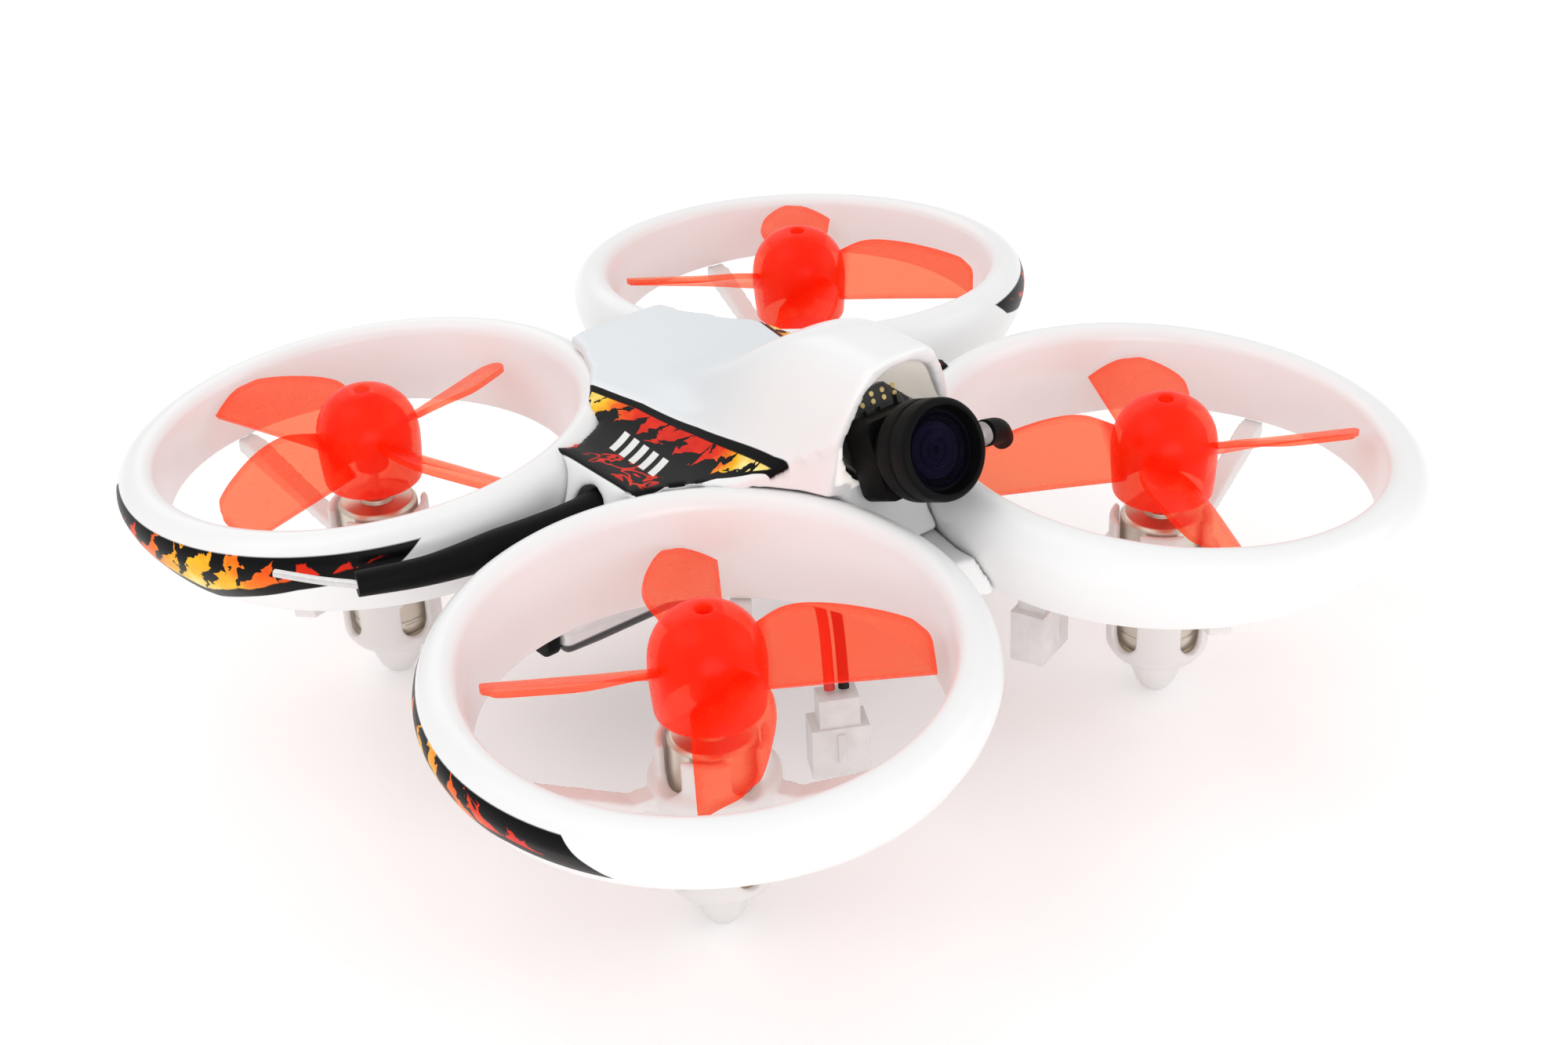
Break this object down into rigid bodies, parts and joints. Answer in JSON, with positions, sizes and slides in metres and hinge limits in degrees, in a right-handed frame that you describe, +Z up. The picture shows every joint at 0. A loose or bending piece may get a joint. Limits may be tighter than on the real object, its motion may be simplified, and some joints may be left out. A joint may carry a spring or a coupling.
{
  "type": "fpv racing drone",
  "caption": "Micro racing quadcopter with ducted propellers, moulded shell, nose camera, slung battery and whip antenna.",
  "frame": {"origin": "centre of the footprint, on the plane that the four feet stand on", "axes": "+Z up, nose towards -Y, +X to the left of the drone"},
  "size_m": [0.1102, 0.1104, 0.0467],
  "materials": {
    "white_plastic": "gloss",
    "milky_plastic": "satin",
    "red_plastic": "gloss",
    "black_plastic": "matte",
    "lens_glass": "gloss",
    "steel": "satin",
    "beige_plastic": "matte",
    "board": "satin",
    "battery_wrap": "satin",
    "connector_white": "satin",
    "clear_sleeve": "gloss",
    "lead_red": "satin",
    "lead_black": "satin"
  },
  "bodies": {
    "frame": {"duct_front_right": "white_plastic", "motor_sleeve_front_right": "milky_plastic", "motor_can_front_right": "steel", "motor_cap_front_right": "beige_plastic", "duct_front_left": "white_plastic", "motor_sleeve_front_left": "milky_plastic", "motor_can_front_left": "steel", "motor_cap_front_left": "beige_plastic", "duct_rear_right": "white_plastic", "motor_sleeve_rear_right": "milky_plastic", "motor_can_rear_right": "steel", "motor_cap_rear_right": "beige_plastic", "duct_rear_left": "white_plastic", "motor_sleeve_rear_left": "milky_plastic", "motor_can_rear_left": "steel", "motor_cap_rear_left": "beige_plastic", "canopy": "white_plastic", "deck": "white_plastic", "flight_controller": "board", "board_screw_front": "steel", "board_screw_rear": "steel", "board_screw_right": "steel", "board_screw_left": "steel", "usb_socket": "steel", "bind_switch": "board", "antenna_sleeve": "black_plastic", "antenna_tip": "steel", "aerial_joint": "clear_sleeve", "aerial_sleeve": "black_plastic", "battery": "battery_wrap", "battery_end": "black_plastic", "battery_cradle": "milky_plastic", "power_plug": "connector_white", "power_lead_red": "lead_red", "power_lead_black": "lead_black", "charge_plug": "connector_white", "charge_lead_red": "lead_red", "charge_lead_black": "lead_black", "lens_ring": "black_plastic", "lens_glass": "lens_glass", "lens_barrel": "black_plastic", "camera_body": "black_plastic", "camera_board": "board"},
    "propeller_front_right": {"prop_shaft_front_right": "steel", "propeller_front_right": "red_plastic"},
    "propeller_front_left": {"prop_shaft_front_left": "steel", "propeller_front_left": "red_plastic"},
    "propeller_rear_right": {"prop_shaft_rear_right": "steel", "propeller_rear_right": "red_plastic"},
    "propeller_rear_left": {"prop_shaft_rear_left": "steel", "propeller_rear_left": "red_plastic"},
    "bind_button": {"bind_button": "black_plastic"}
  },
  "joints": [
    {"name": "propeller_spin_front_right", "type": "hinge", "parent": "frame", "child": "propeller_front_right", "pos_m": [-0.029, -0.029, 0.0285], "axis": [0, 0, 1], "continuous": true},
    {"name": "propeller_spin_front_left", "type": "hinge", "parent": "frame", "child": "propeller_front_left", "pos_m": [0.029, -0.029, 0.0285], "axis": [0, 0, 1], "continuous": true},
    {"name": "propeller_spin_rear_right", "type": "hinge", "parent": "frame", "child": "propeller_rear_right", "pos_m": [-0.029, 0.029, 0.0285], "axis": [0, 0, 1], "continuous": true},
    {"name": "propeller_spin_rear_left", "type": "hinge", "parent": "frame", "child": "propeller_rear_left", "pos_m": [0.029, 0.029, 0.0285], "axis": [0, 0, 1], "continuous": true},
    {"name": "bind_button_press", "type": "slide", "parent": "frame", "child": "bind_button", "axis": [0, 0, 1], "range_m": [0, 0.0003], "stiffness_N_per_m": 60, "springref_m": -0.0002}
  ]
}
